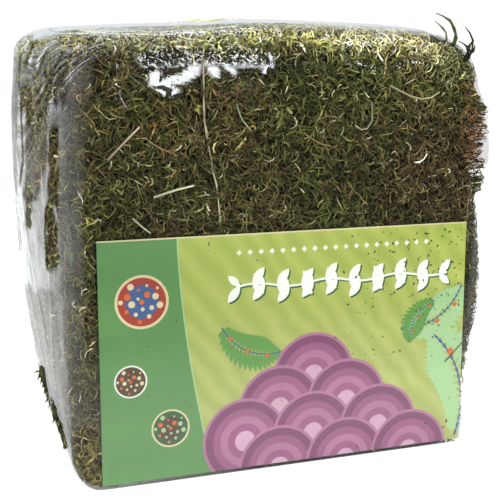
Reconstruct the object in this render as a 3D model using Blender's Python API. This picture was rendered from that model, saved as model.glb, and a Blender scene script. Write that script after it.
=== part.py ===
"""A pressed bale of dried moss, as sold for planting: the moss block, the printed card on its front and the clear
sleeve of shrunk film that holds both. The front is -Y, +Z is up, and the bale stands on its bottom face."""

import math

import bmesh
import bpy
from mathutils import Vector, noise

# Driving dimensions, in metres
CARD_WIDTH = 0.254
CARD_HEIGHT = 0.155
CARD_THICKNESS = 0.0006
BALE_DEPTH = 0.250
BALE_HEIGHT = 0.2851
MARGIN_LEFT_OF_CARD = 0.018
MARGIN_RIGHT_OF_CARD = 0.0145
FILM_THICKNESS = 0.0004

# How the pressed sides swell outwards between their corners, and tuck in and lean above and below
SWELL_LEFT = 0.013
SWELL_RIGHT = 0.0175
SWELL_BACK = 0.008
SWELL_FRONT = 0.005
DOME_RISE = 0.0078
TOP_RISE_LEFT = 0.0008
TOP_DIP_FRONT_LEFT = 0.003
TOP_LEAN_LEFT = 0.0025
TUCK_LEFT_FRONT, TUCK_LEFT_BACK = 0.0005, 0.0115
# Beside the lower half of the card the right side comes in, nearly to the card's edge
TUCK_RIGHT = 0.011
TUCK_RIGHT_LOW, TUCK_RIGHT_HIGH = 0.045, 0.092

# The hard lump of brown moss that stands out at the front right corner
LUMP_LOW, LUMP_HIGH = 0.192, 0.229
LUMP_OUT = 0.0125
LUMP_STATION = 1.02
LUMP_REACH = 0.17

# The round mouths that the shrunk sleeve leaves open in the top and bottom faces
MOUTH_MARGIN_TOP = 0.060
MOUTH_MARGINS_BOTTOM = (0.052, 0.052, 0.046, 0.027)
MOUTH_WAVE = 0.004
BULGE_TOP = 0.0045

# Gaps between the pieces
GAP = 0.00035
CARD_POCKET = 0.0014
TENT_SPREAD = 0.006
# Height of the card's lower edge above the floor
CARD_FOOT = 0.0026

HALF_DEPTH = BALE_DEPTH / 2
HALF_WIDTH = (CARD_WIDTH + MARGIN_LEFT_OF_CARD + MARGIN_RIGHT_OF_CARD) / 2
CARD_LEFT = -HALF_WIDTH + MARGIN_LEFT_OF_CARD
CARD_RIGHT = CARD_LEFT + CARD_WIDTH
CARD_TOP = CARD_FOOT + CARD_HEIGHT

# A station is a place around the bale: 0 to 1 along the front from left to right and round its right-hand corner,
# then the right side, the back and the left side, up to 4. The last part of each side is its corner's arc.
CORNER_SHARE = 0.25
STRAIGHT_SHARE = 1 - CORNER_SHARE

# Mesh densities. The sleeve's columns and rows meet the block's, so that the gap between them stays even.
SIDE_CELLS = 16
EDGE_ROWS = 3
SIDE_ROWS = SIDE_CELLS - 2 * EDGE_ROWS
FOOT_ROWS, CROWN_ROWS = 2, 3
# Where along the sleeve, counted in rows from its bottom mouth to its top mouth, each stretch ends
AT_FOOT = FOOT_ROWS
AT_SIDE = AT_FOOT + EDGE_ROWS
AT_SHOULDER = AT_SIDE + SIDE_ROWS
AT_TOP = AT_SHOULDER + EDGE_ROWS
SLEEVE_ROWS = AT_TOP + CROWN_ROWS
# Heights of the side's rows between its rounded edges. They lie close together where the lump begins and ends.
ROW_HEIGHTS = (0.030, 0.062, 0.094, 0.126, 0.156, 0.1725, 0.1853, 0.2343, 0.2458)


def smooth(low, high, value):
    """0 below low and 1 above high, with a soft rise between them."""
    share = min(1.0, max(0.0, (value - low) / (high - low)))
    return share * share * (3 - 2 * share)


def mix(a, b, share):
    return a + (b - a) * share


def around(values, station):
    """A value given for the front, right, back and left sides, blended over the corners."""
    side = int(station) % 4
    return mix(values[side], values[(side + 1) % 4], smooth(STRAIGHT_SHARE, 1.0, station - int(station)))


def right_margin(z):
    """How far the right side stands out past the card's edge."""
    return MARGIN_RIGHT_OF_CARD - TUCK_RIGHT * (1 - smooth(TUCK_RIGHT_LOW, TUCK_RIGHT_HIGH, z))


def corner_radii(z):
    """The radii of the upright corners: front right, back right, back left and front left."""
    top = smooth(0.6 * BALE_HEIGHT, BALE_HEIGHT, z)
    front_right = right_margin(z) + 0.008 * smooth(CARD_TOP + 0.01, CARD_TOP + 0.05, z)
    return front_right, 0.022 + 0.010 * top, 0.024, 0.014 + 0.010 * top


def corner(index, inset, z):
    """(centre x, centre y, radius, start angle) of an upright corner's arc, with the outline inset."""
    radius = corner_radii(z)[index] + 0.55 * inset
    right = index in (0, 1)
    back = index in (1, 2)
    x = CARD_RIGHT + right_margin(z) - inset - radius if right else -HALF_WIDTH + inset + radius
    y = HALF_DEPTH - inset - radius if back else -HALF_DEPTH + inset + radius
    return x, y, radius, math.radians(-90 + 90 * index)


def outline(station, inset, z):
    """The point of the bale's rounded outline at a station, with straight sides."""
    side = int(station) % 4
    share = station - int(station)
    x, y, radius, start = corner(side, inset, z)
    if share >= STRAIGHT_SHARE:
        angle = start + math.radians(90) * (share - STRAIGHT_SHARE) / CORNER_SHARE
        return x + radius * math.cos(angle), y + radius * math.sin(angle)
    before_x, before_y, before_radius, _ = corner((side - 1) % 4, inset, z)
    along = share / STRAIGHT_SHARE
    out_x, out_y = math.cos(start), math.sin(start)
    return (
        mix(before_x + before_radius * out_x, x + radius * out_x, along),
        mix(before_y + before_radius * out_y, y + radius * out_y, along),
    )


def swell(x, y, z):
    """The outward push of the pressed sides, the dome of the top and the slow unevenness of the whole bale."""
    across_x = max(0.0, 1 - (x / HALF_WIDTH) ** 2)
    across_y = max(0.0, 1 - (y / HALF_DEPTH) ** 2)
    up = z / BALE_HEIGHT
    belly = smooth(-0.1, 0.35, up) * (1 - 0.55 * smooth(0.7, 1.05, up))
    left = SWELL_LEFT * across_y * mix(0.35, 1.0, smooth(0.0, 0.6, up)) * (1 - 0.25 * smooth(0.75, 1.0, up))
    backwards = min(1.0, max(0.0, (y / HALF_DEPTH + 1) / 2))
    left -= mix(TUCK_LEFT_FRONT, TUCK_LEFT_BACK, backwards ** 0.6) * (1 - smooth(-0.05, 0.55, up))
    left -= TOP_LEAN_LEFT * smooth(0.75, 1.0, up)
    right = SWELL_RIGHT * across_y ** 0.6 * smooth(0.08, 0.36, up) * (1 - smooth(0.42, 0.62, up))
    above_card = smooth(CARD_TOP, CARD_TOP + 0.05, z) * (1 - smooth(0.85, 1.05, up))
    out_x = right * max(0.0, x / HALF_WIDTH) ** 3 - left * max(0.0, -x / HALF_WIDTH) ** 3
    out_y = SWELL_BACK * across_x * belly * max(0.0, y / HALF_DEPTH) ** 3
    out_y -= SWELL_FRONT * across_x * above_card * max(0.0, -y / HALF_DEPTH) ** 3
    dome = DOME_RISE * across_x * mix(0.5, 1.0, across_y) - TOP_RISE_LEFT * x / HALF_WIDTH
    dome -= TOP_DIP_FRONT_LEFT * smooth(0.0, 0.8, -y / HALF_DEPTH) * smooth(0.05, 0.55, -x / HALF_WIDTH)
    out_z = dome * smooth(0.8, 1.0, up)
    slow = noise.noise(Vector((x, y, z)) * 14 + Vector((3.1, 0.7, 5.2)))
    free = 1 - smooth(-0.8, -0.95, y / HALF_DEPTH) * (1 - above_card)
    free *= smooth(0.0, 0.06, up)
    return out_x + 0.0022 * slow * free * x / HALF_WIDTH, out_y + 0.0022 * slow * free * y / HALF_DEPTH, out_z


def lump(station, z, spread):
    """How far the brown lump pushes outwards. The film, with more spread, spans its edges like a tent."""
    low, high = LUMP_LOW - spread, LUMP_HIGH + spread
    soft = 0.007 + spread
    upright = smooth(low - soft, low, z) * (1 - smooth(high, high + soft, z))
    away = abs((station - LUMP_STATION + 2) % 4 - 2)
    return LUMP_OUT * upright * (1 - smooth(LUMP_REACH * 0.6, LUMP_REACH + 2 * spread, away))


def wrap_point(station, inset, z, spread=0.0):
    """The point on the bale's outside, where the film's inner face lies. The inset is towards the bale's axis."""
    x, y = outline(station, inset, z)
    push = lump(station, z, spread)
    facing = math.atan2(y / HALF_DEPTH, x / HALF_WIDTH)
    x, y = x + push * math.cos(facing), y + push * math.sin(facing) * 0.4
    out_x, out_y, out_z = swell(x, y, z)
    return Vector((x + out_x, y + out_y, z + out_z))


def edge_radii(station):
    """(bottom, top) rounding of the bale's level edges at a station."""
    return around((CARD_FOOT - GAP, 0.014, 0.018, 0.016), station), around((0.026, 0.030, 0.020, 0.012), station)


def quarter(share, radius):
    """(inset, height above the level face) part of the way up a quarter-round edge."""
    angle = math.radians(90) * share
    return radius * (1 - math.sin(angle)), radius * (1 - math.cos(angle))


def side_height(share, low, high):
    """The height of a place between the two rounded edges, share of the way up the side's rows."""
    heights = (low, *ROW_HEIGHTS, BALE_HEIGHT - high)
    rows_up = share * SIDE_ROWS
    below = min(int(rows_up + 1e-6), SIDE_ROWS - 1)
    return mix(heights[below], heights[below + 1], rows_up - below)


def sleeve_place(station, row):
    """(inset, z) of the sleeve at a row, counted from its bottom mouth to its top mouth."""
    low, high = edge_radii(station)
    wave = MOUTH_WAVE * noise.noise(Vector((math.cos(station * math.pi / 2), math.sin(station * math.pi / 2), 0)) * 2.3)
    if row <= AT_FOOT:
        return mix(around(MOUTH_MARGINS_BOTTOM, station) + wave, low, row / AT_FOOT), 0.0
    if row <= AT_SIDE:
        return quarter((row - AT_FOOT) / EDGE_ROWS, low)
    if row <= AT_SHOULDER:
        return 0.0, side_height((row - AT_SIDE) / SIDE_ROWS, low, high)
    if row <= AT_TOP:
        inset, drop = quarter((AT_TOP - row) / EDGE_ROWS, high)
        return inset, BALE_HEIGHT - drop
    return mix(high, MOUTH_MARGIN_TOP + wave, (row - AT_TOP) / CROWN_ROWS), BALE_HEIGHT


def link(name, mesh, material):
    obj = bpy.data.objects.new(name, mesh)
    bpy.context.collection.objects.link(obj)
    obj.data.materials.append(material)
    return obj


def finish_material(name, colour, roughness, alpha=1.0):
    material = bpy.data.materials.new(name)
    material.use_nodes = True
    surface = material.node_tree.nodes["Principled BSDF"]
    surface.inputs["Base Color"].default_value = (*colour, 1.0)
    surface.inputs["Roughness"].default_value = roughness
    surface.inputs["Metallic"].default_value = 0.0
    surface.inputs["Alpha"].default_value = alpha
    material.diffuse_color = (*colour, alpha)
    return material


def cube_place(co):
    """(station, share of the way out from the middle) of a point on a cube of half side 1."""
    out = max(abs(co.x), abs(co.y))
    if out < 1e-6:
        return 0.0, 0.0
    outward = (-co.y, co.x, co.y, -co.x)
    side = next(index for index in range(4) if outward[index] >= out - 1e-6)
    run = (co.x, co.y, -co.x, -co.y)[side] / out
    return (side + (run + 1) / 2 - CORNER_SHARE / 2) % 4, out


def hollows(point):
    """Depth of the tufts' hollows in the block's surface, always inwards."""
    broad = noise.noise(point * 38 + Vector((1.7, 4.1, 0.3)))
    fine = noise.noise(point * 85 + Vector((7.7, 2.4, 9.1)))
    return 0.0013 * (1 - broad) + 0.0010 * (1 - fine)


def block_point(co):
    """Where a point of the cube goes on the moss block: (point, depth inwards, outward direction or None)."""
    station, out = cube_place(co)
    top = co.z > 0
    low, high = edge_radii(station)
    if out > 1 - 1e-6:
        arc = EDGE_ROWS / SIDE_CELLS
        up = (co.z + 1) / 2
        if up < arc:
            inset, z = quarter(up / arc, low)
        elif up > 1 - arc:
            inset, drop = quarter((1 - up) / arc, high)
            z = BALE_HEIGHT - drop
        else:
            inset, z = 0.0, side_height((up - arc) / (1 - 2 * arc), low, high)
        point = wrap_point(station, inset, z)
        return point, GAP + mix(GAP, hollows(point), smooth(0.0, 0.02, z)), None
    # The top and bottom faces: rings under the film's margin first, then rings that shrink to the mouth's middle
    ring = (1 - out) * SIDE_CELLS / 2
    margin_rows = CROWN_ROWS if top else FOOT_ROWS
    margin_ring = min(ring, margin_rows)
    inset, z = sleeve_place(station, AT_TOP + margin_ring if top else AT_FOOT - margin_ring)
    x, y = outline(station, inset, z)
    open_share = max(0.0, ring - margin_rows) / (SIDE_CELLS / 2 - margin_rows)
    x, y = x * (1 - open_share), y * (1 - open_share)
    point = Vector((x, y, z)) + Vector(swell(x, y, z))
    in_mouth = smooth(0.0, 0.6, open_share)
    if top:
        return point, mix(GAP + hollows(point), hollows(point) - BULGE_TOP, in_mouth), Vector((0, 0, 1))
    return point, mix(2 * GAP, -FILM_THICKNESS, smooth(0.0, 0.3, open_share)), Vector((0, 0, -1))


def moss_block(material):
    """The moss itself: long dry shoots pressed into one springy block, domed where the sleeve's mouth lets it swell."""
    bm = bmesh.new()
    bmesh.ops.create_cube(bm, size=2)
    bmesh.ops.subdivide_edges(bm, edges=bm.edges[:], cuts=SIDE_CELLS - 1, use_grid_fill=True)
    placed = [(vert, block_point(vert.co)) for vert in bm.verts]
    for vert, (point, _, _) in placed:
        vert.co = point
    bmesh.ops.recalc_face_normals(bm, faces=bm.faces[:])
    bm.normal_update()
    for vert, (point, depth, facing) in placed:
        vert.co -= (facing or vert.normal) * depth
        if point.z < CARD_TOP:
            vert.co.y = max(vert.co.y, -HALF_DEPTH + CARD_POCKET)
    bmesh.ops.triangulate(bm, faces=bm.faces[:], quad_method="SHORT_EDGE")
    mesh = bpy.data.meshes.new("moss_block")
    bm.to_mesh(mesh)
    bm.free()
    mesh.shade_smooth()
    return link("moss_block", mesh, material)


def film_sleeve(material):
    """The clear sleeve, shrunk on with heat. It spans the hollows and folds over the top and bottom edges."""
    bm = bmesh.new()
    bmesh.ops.create_cone(bm, cap_ends=False, segments=4 * SIDE_CELLS, radius1=1, radius2=1, depth=1)
    upright = [edge for edge in bm.edges if abs(edge.verts[0].co.z - edge.verts[1].co.z) > 0.5]
    bmesh.ops.subdivide_edges(bm, edges=upright, cuts=SLEEVE_ROWS - 1, use_grid_fill=False)
    for vert in bm.verts:
        station = (math.atan2(vert.co.y, vert.co.x) / math.radians(90) - CORNER_SHARE / 2) % 4
        inset, z = sleeve_place(station, round((vert.co.z + 0.5) * SLEEVE_ROWS))
        vert.co = wrap_point(station, inset, z, TENT_SPREAD)
    bm.normal_update()
    bmesh.ops.triangulate(bm, faces=bm.faces[:], quad_method="SHORT_EDGE")
    mesh = bpy.data.meshes.new("film_sleeve")
    bm.to_mesh(mesh)
    bm.free()
    mesh.shade_smooth()
    obj = link("film_sleeve", mesh, material)
    wall = obj.modifiers.new("wall", "SOLIDIFY")
    wall.thickness = FILM_THICKNESS
    wall.offset = 1.0
    return obj


def printed_card(material):
    """The stiff printed card that the film holds flat against the front, square at its corners."""
    bm = bmesh.new()
    bmesh.ops.create_cube(bm, size=1)
    for vert in bm.verts:
        vert.co.x = CARD_LEFT + (vert.co.x + 0.5) * CARD_WIDTH
        vert.co.y = -HALF_DEPTH + GAP + (vert.co.y + 0.5) * CARD_THICKNESS
        vert.co.z = CARD_FOOT + (vert.co.z + 0.5) * CARD_HEIGHT
    mesh = bpy.data.meshes.new("printed_card")
    bm.to_mesh(mesh)
    bm.free()
    return link("printed_card", mesh, material)


def centre_on_base(objects):
    """Moves the finished pieces so that the whole bale's base is centred on the origin."""
    graph = bpy.context.evaluated_depsgraph_get()
    corners = [Vector(c) for obj in objects for c in obj.evaluated_get(graph).bound_box]
    low = [min(c[axis] for c in corners) for axis in range(3)]
    high = [max(c[axis] for c in corners) for axis in range(3)]
    shift = Vector((-(low[0] + high[0]) / 2, -(low[1] + high[1]) / 2, -low[2]))
    for obj in objects:
        obj.location = shift


for old in list(bpy.data.objects):
    bpy.data.objects.remove(old, do_unlink=True)

pieces = [
    moss_block(finish_material("dry moss", (0.070, 0.075, 0.026), 0.9)),
    printed_card(finish_material("coated card", (0.44, 0.58, 0.16), 0.35)),
    film_sleeve(finish_material("clear film", (0.85, 0.90, 0.90), 0.12, alpha=0.25)),
]
bpy.context.view_layer.update()
centre_on_base(pieces)
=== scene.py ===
"""A pressed bale of dried moss, with a printed card on its front, in a clear sleeve of shrunk film.

Each section is one piece or one group of like pieces, in the order in which the bale is packed."""

import math

import bmesh
import bpy
import numpy as np
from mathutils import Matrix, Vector, noise
from mathutils.bvhtree import BVHTree


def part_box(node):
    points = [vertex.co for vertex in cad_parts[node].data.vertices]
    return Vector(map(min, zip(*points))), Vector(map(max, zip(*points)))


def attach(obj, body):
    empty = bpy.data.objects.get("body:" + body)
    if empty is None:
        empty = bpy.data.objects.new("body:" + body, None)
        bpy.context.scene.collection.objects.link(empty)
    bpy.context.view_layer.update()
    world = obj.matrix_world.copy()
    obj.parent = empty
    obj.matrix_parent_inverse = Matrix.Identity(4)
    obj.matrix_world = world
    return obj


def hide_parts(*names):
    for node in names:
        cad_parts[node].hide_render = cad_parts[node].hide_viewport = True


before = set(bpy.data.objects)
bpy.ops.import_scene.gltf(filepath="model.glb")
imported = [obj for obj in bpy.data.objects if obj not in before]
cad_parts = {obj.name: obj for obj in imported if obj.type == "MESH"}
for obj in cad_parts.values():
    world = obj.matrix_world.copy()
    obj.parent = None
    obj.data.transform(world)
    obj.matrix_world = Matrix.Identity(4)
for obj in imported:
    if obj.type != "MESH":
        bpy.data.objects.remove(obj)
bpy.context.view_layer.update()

# View, floor and light
# The camera stands where the photo was taken from, left of the card and just below the bale's top. The bale
# is on a lit white board before a white backdrop. Soft lamps stand above, left, behind and in front, and two
# window panes and a skylight show in the film as white patches and strokes.

PHOTO_PIXELS = 500
FOCAL_PIXELS = 973
WHITE = (1, 1, 1, 1)
card_low, card_high = (Vector(corner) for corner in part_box("printed_card"))

lens = bpy.data.cameras.new("photo_lens")
lens.sensor_width = 36
lens.lens = lens.sensor_width * FOCAL_PIXELS / PHOTO_PIXELS
lens.clip_start = 0.01
camera = bpy.data.objects.new("photo_view", lens)
camera.location = card_low + Vector((-0.104, -0.571, 0.2495))
camera.rotation_euler = (math.radians(90 - 9.85), 0, math.radians(-19.42))
bpy.context.scene.collection.objects.link(camera)
bpy.context.scene.camera = camera
bpy.context.view_layer.update()
bpy.context.scene.view_settings.view_transform = "Standard"


def sight(px, py):
    """The direction from the camera through a pixel of the photo."""
    aside, down = px - PHOTO_PIXELS / 2, py - PHOTO_PIXELS / 2
    ray = Vector((aside / FOCAL_PIXELS, -down / FOCAL_PIXELS, -1))
    return (camera.matrix_world.to_3x3() @ ray).normalized()


def linear(hex_code):
    """A hex sRGB colour as linear RGBA."""
    channels = [int(hex_code[i : i + 2], 16) / 255 for i in (1, 3, 5)]
    return (*(c / 12.92 if c <= 0.04045 else ((c + 0.055) / 1.055) ** 2.4 for c in channels), 1.0)


def add_node(tree, kind, inputs=None, **settings):
    """Adds a node. An input takes a value, a node's output, or a node, which stands for its first output."""
    made = tree.nodes.new("ShaderNode" + kind)
    for key, value in settings.items():
        setattr(made, key, value)
    for key, value in (inputs or {}).items():
        if isinstance(value, bpy.types.Node):
            value = value.outputs[0]
        if isinstance(value, bpy.types.NodeSocket):
            tree.links.new(value, made.inputs[key])
        else:
            made.inputs[key].default_value = value
    return made


def new_material(name, inputs=None):
    """A material with one Principled shader: itself, its tree, its shader, and the place on the piece."""
    material = bpy.data.materials.new(name)
    material.use_nodes = True
    shader = material.node_tree.nodes["Principled BSDF"]
    for key, value in (inputs or {}).items():
        shader.inputs[key].default_value = value
    place = add_node(material.node_tree, "TexCoord").outputs["Object"]
    return material, material.node_tree, shader, place


def finished(name, bm, materials, smooth=True):
    """Makes the finished object from a bmesh, at the origin."""
    mesh = bpy.data.meshes.new(name)
    bm.to_mesh(mesh)
    bm.free()
    piece = bpy.data.objects.new(name, mesh)
    bpy.context.scene.collection.objects.link(piece)
    for material in materials:
        mesh.materials.append(material)
    if smooth:
        mesh.shade_smooth()
    return piece


# The floor: a white board, matt, lit from below as a light table is. It fades out before the bale, so that
# the film mirrors no edge of it.
floor_mesh = bmesh.new()
bmesh.ops.create_grid(floor_mesh, x_segments=1, y_segments=1, size=6)
floor_paint, tree, shader, place = new_material("white lit board", {
    "Base Color": linear("#a8a8a6"), "Roughness": 0.85, "Emission Color": WHITE, "Emission Strength": 0.82,
})
backwards = add_node(tree, "SeparateXYZ", {0: place}).outputs["Y"]
there = add_node(
    tree, "MapRange", {"Value": backwards, "From Min": -0.60, "From Max": -0.18},
    interpolation_type="SMOOTHSTEP",
)
no_board = add_node(tree, "BsdfTransparent")
fading = add_node(tree, "MixShader", {0: there, 1: no_board, 2: shader})
tree.links.new(fading.outputs[0], tree.nodes["Material Output"].inputs["Surface"])
finished("floor", floor_mesh, [floor_paint])

# The surround: a white backdrop and ceiling. The film mirrors them, and the dim room before the bale.
world = bpy.data.worlds.new("white surround")
world.use_nodes = True
bpy.context.scene.world = world
sky = world.node_tree
direction = add_node(sky, "TexCoord").outputs["Generated"]
up_and_back = add_node(sky, "VectorMath", {0: direction, 1: (-0.5, 0.7, 0.55)}, operation="DOT_PRODUCT")
towards_back = add_node(sky, "MapRange", {
    "Value": up_and_back.outputs["Value"], "From Min": -0.25, "From Max": 0.65,
    "To Min": 0.18, "To Max": 0.85,
}, interpolation_type="SMOOTHSTEP")
sideways = add_node(sky, "SeparateXYZ", {0: direction}).outputs["X"]
from_centre = add_node(sky, "Math", {0: sideways, 1: 0.25}, operation="SUBTRACT")
off_centre = add_node(sky, "Math", {0: from_centre}, operation="ABSOLUTE")
towards_side = add_node(
    sky, "MapRange", {"Value": off_centre, "From Min": 0.35, "From Max": 0.75, "To Max": 0.75},
    interpolation_type="SMOOTHSTEP",
)
room = add_node(sky, "Math", {0: towards_back, 1: towards_side}, operation="MAXIMUM")
ray = add_node(sky, "LightPath").outputs
lit = add_node(sky, "Mix", {0: ray["Is Camera Ray"], 2: 0.50, 3: 1.02}, data_type="FLOAT")
strength = add_node(sky, "Mix", {0: ray["Is Glossy Ray"], 2: lit, 3: room}, data_type="FLOAT")
room_tint = add_node(sky, "Mix", {0: room, 6: (0.78, 0.87, 1.0, 1), 7: WHITE}, data_type="RGBA")
tint = add_node(sky, "Mix", {0: ray["Is Glossy Ray"], 6: WHITE, 7: room_tint.outputs[2]}, data_type="RGBA")
background = sky.nodes["Background"]
sky.links.new(tint.outputs[2], background.inputs["Color"])
sky.links.new(strength.outputs[0], background.inputs["Strength"])


def soft_lamp(name, place, aim, width, height, power, mirrored=True, lighting=True):
    """A rectangular lamp. It can be kept out of the film's reflections, or off the bale's surfaces."""
    lamp = bpy.data.lights.new(name, "AREA")
    lamp.shape = "RECTANGLE"
    lamp.size = width
    lamp.size_y = height
    lamp.energy = power
    holder = bpy.data.objects.new(name, lamp)
    holder.location = place
    holder.rotation_euler = (Vector(aim) - Vector(place)).to_track_quat("-Z", "Y").to_euler()
    holder.visible_glossy = mirrored
    holder.visible_diffuse = lighting
    bpy.context.scene.collection.objects.link(holder)


soft_lamp("top_lamp", (0.0, -0.1, 1.5), (0.0, 0.0, 0.25), 0.9, 0.9, 14)
soft_lamp("left_lamp", (-1.7, -0.7, 0.7), (0.0, 0.0, 0.15), 1.5, 1.5, 24, mirrored=False)
soft_lamp("back_lamp", (1.3, 1.6, 1.0), (0.0, 0.0, 0.2), 1.5, 1.5, 38, mirrored=False)
soft_lamp("front_lamp", (0.05, -1.45, 0.10), (0.0, 0.0, 0.08), 0.8, 0.5, 4.2, mirrored=False)

# The window's panes: (sideways, height, width, tall, power)
WINDOW_PANES = ((0.220, 0.47, 0.280, 0.44, 4.4), (0.640, 0.76, 0.280, 0.30, 1.7))
WINDOW_Y = -1.15
for pane, (aside, high, wide, tall, power) in enumerate(WINDOW_PANES):
    soft_lamp(f"window_pane_{pane}", (aside, WINDOW_Y, high), (aside, -0.1, 0.18), wide, tall, power)
# A skylight above the window that only shows in the film, as short strokes along the top of the front
soft_lamp("skylight", (0.26, WINDOW_Y, 1.05), (0.26, -0.1, 0.18), 0.5, 0.62, 9, lighting=False)

# The pressed mass of the moss
# The inside of the bale: old brown shoots and leaf crumbs, pressed so tight that only a dark matted bed
# shows between the shoots of the outer layer. Its near-black colour is painted shade for the gaps between the
# shoots. It is the block's own form, a little smaller and lumpy.

BED_DEPTH = 0.0034
BED_LUMPS = 0.0016
BED_ABOVE_FLOOR = 0.0006


def merged_copy(node_name):
    """A bmesh of a CAD node, its loose triangles merged."""
    bm = bmesh.new()
    bm.from_mesh(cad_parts[node_name].data)
    bmesh.ops.remove_doubles(bm, verts=bm.verts[:], dist=1e-6)
    bm.normal_update()
    return bm


skin = merged_copy("moss_block")
bmesh.ops.subdivide_edges(skin, edges=skin.edges[:], cuts=1, use_grid_fill=True)
for _ in range(2):
    bmesh.ops.smooth_vert(
        skin, verts=skin.verts[:], factor=0.5, use_axis_x=True, use_axis_y=True, use_axis_z=True
    )
skin.normal_update()
skin_tree = BVHTree.FromBMesh(skin)

bed = skin.copy()
bmesh.ops.subdivide_edges(bed, edges=bed.edges[:], cuts=1, use_grid_fill=True)
bed.normal_update()
for vert in bed.verts:
    lumps = 0.5 * noise.noise(vert.co * 120) + 0.5 * noise.noise(vert.co * 310)
    vert.co -= vert.normal * (BED_DEPTH + BED_LUMPS * lumps)
    vert.co.z = max(vert.co.z, BED_ABOVE_FLOOR)

# Old dry moss: dead brown and black-green shoots, matt, with leaf crumbs of about 2 mm between them. Its
# colours are the dark brown of old moss, made near-black as painted shade for the gaps between the shoots.
bed_moss_and_gap_shade, tree, shader, place = new_material(
    "old moss with painted gap shade", {"Roughness": 0.95, "Specular IOR Level": 0.15}
)
crumbs = add_node(tree, "TexNoise", {"Vector": place, "Scale": 420.0, "Detail": 4.0, "Roughness": 0.7})
crumb_colours = add_node(tree, "ValToRGB", {0: crumbs})
for stop, position, colour in zip(crumb_colours.color_ramp.elements, (0.35, 0.72), ("#0c0d06", "#2e2817")):
    stop.position = position
    stop.color = linear(colour)
tree.links.new(crumb_colours.outputs[0], shader.inputs["Base Color"])
relief = add_node(tree, "Bump", {"Height": crumbs, "Strength": 0.9, "Distance": 0.0015})
tree.links.new(relief.outputs[0], shader.inputs["Normal"])

moss_bed = finished("moss_bed", bed, [bed_moss_and_gap_shade])
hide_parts("moss_block")
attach(moss_bed, "root")

# The moss shoots
# The outer layer: thousands of dry moss shoots, thin curling stems with leaves folded along them, 5 to 25 mm
# long and about 1 mm across. They lie every way, pressed flat against the film, and rise free in the
# sleeve's mouths. Each side of the bale has its own matted layer.

STEPS = 5
FILM_GAP = 0.00045
MOUTH_RISE = 0.0008
SHORTEST_SHOOT, LONGEST_SHOOT = 0.005, 0.026
LAYER_DEPTH = 0.0034
END_DEPTH = 0.001
ABOVE_FLOOR = 0.0003
# The film over a place is looked for from this far under the skin, this far out
CAST_FROM, CAST_REACH = 0.004, 0.016
# How much a shoot wavers from step to step, in radians, and how much tighter each step curls
WAVER, TIGHTEN = 0.26, 1.12

cover = merged_copy("film_sleeve")
card_solid = merged_copy("printed_card")
card_mesh = bpy.data.meshes.new("card_copy")
card_solid.to_mesh(card_mesh)
cover.from_mesh(card_mesh)
bpy.data.meshes.remove(card_mesh)
cover_tree = BVHTree.FromBMesh(cover)


def fine_shoot():
    """A thin shoot, its leaves shrivelled round it: a narrow strip with a slightly uneven outline."""
    bm = bmesh.new()
    bmesh.ops.create_grid(bm, x_segments=1, y_segments=STEPS, size=0.5)
    for vert in bm.verts:
        along = vert.co.y + 0.5
        tooth = 1.0 if round(along * STEPS) % 2 else 0.7
        vert.co = (vert.co.x * tooth * math.sin(math.pi * min(1.0, along * 0.8 + 0.17)) ** 0.5, along, 0)
    return bm


def leafy_blade():
    """A shoot with leaves pressed to its stem: a folded blade, three points across, with toothed edges."""
    bm = bmesh.new()
    bmesh.ops.create_grid(bm, x_segments=2, y_segments=STEPS, size=0.5)
    for vert in bm.verts:
        along = vert.co.y + 0.5
        row = round(along * STEPS)
        tooth = 1.0 if row % 2 else 0.62
        taper = math.sin(math.pi * min(1.0, along * 0.8 + 0.16)) ** 0.6
        vert.co = (vert.co.x * tooth * taper, along, 0.28 * taper * (1 - 2 * abs(vert.co.x)))
    return bm


def feathery_frond():
    """A shoot with leafy branches on both sides, like a small feather."""
    bm = bmesh.new()
    bmesh.ops.create_grid(bm, x_segments=1, y_segments=STEPS, size=0.5)
    rows = {}
    for vert in bm.verts:
        along = vert.co.y + 0.5
        rows.setdefault(round(along * STEPS), {})[1 if vert.co.x > 0 else -1] = vert
        vert.co = (vert.co.x * 0.30 * (1.1 - along), along, 0)
    for row in range(STEPS):
        reach = 0.62 * math.sin(math.pi * (row + 0.8) / (STEPS + 0.6))
        for side in (-1, 1):
            low, high = rows[row][side], rows[row + 1][side]
            lift = 0.10 if row % 2 else -0.10
            tip = bm.verts.new((side * (0.12 + reach), low.co.y + 1.15 / STEPS, lift))
            bm.faces.new((low, high, tip) if side < 0 else (high, low, tip))
    return bm


def template(bm):
    """(across, along, up) of each point of a shoot, and its faces as triangles."""
    bmesh.ops.triangulate(bm, faces=bm.faces[:])
    points = np.array([vert.co[:] for vert in bm.verts])
    bm.verts.index_update()
    faces = np.array([[vert.index for vert in face.verts] for face in bm.faces])
    bm.free()
    return points, faces


strip = template(fine_shoot())
blade = template(leafy_blade())
frond = template(feathery_frond())

PALETTE = {
    "deep green": "#3c4622", "leaf green": "#616a35", "olive": "#6f6a3c", "brown": "#5c4a2e",
    "dark brown": "#32281b", "straw": "#aaa274", "rust": "#8f6a48", "pale": "#d2d3b2",
}


def tints_of(codes):
    """Hex sRGB colours as rows of linear RGB."""
    return np.array([linear(code)[:3] for code in codes])


palette = tints_of(PALETTE.values())


def patches(points, scale, offset=(0, 0, 0)):
    """Smooth noise at the points, from -1 to 1, its patches 1 / scale m across."""
    return np.array([noise.noise(Vector(p) * scale + Vector(offset)) for p in points])


def soft_step(low, high, value):
    """0 up to low, 1 from high on, and a smooth rise between them."""
    share = np.clip((value - low) / (high - low), 0, 1)
    return share * share * (3 - 2 * share)


def brown_lump(points):
    """1 on the hard brown lump at the front right corner, 0 away from it."""
    y_off, z_off = (points[:, 1] + 0.085) / 0.052, (points[:, 2] - 0.216) / 0.036
    away = np.hypot(y_off, z_off) + 0.5 * patches(points, 55)
    return soft_step(0.118, 0.132, points[:, 0]) * soft_step(1.25, 0.75, away)


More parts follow.
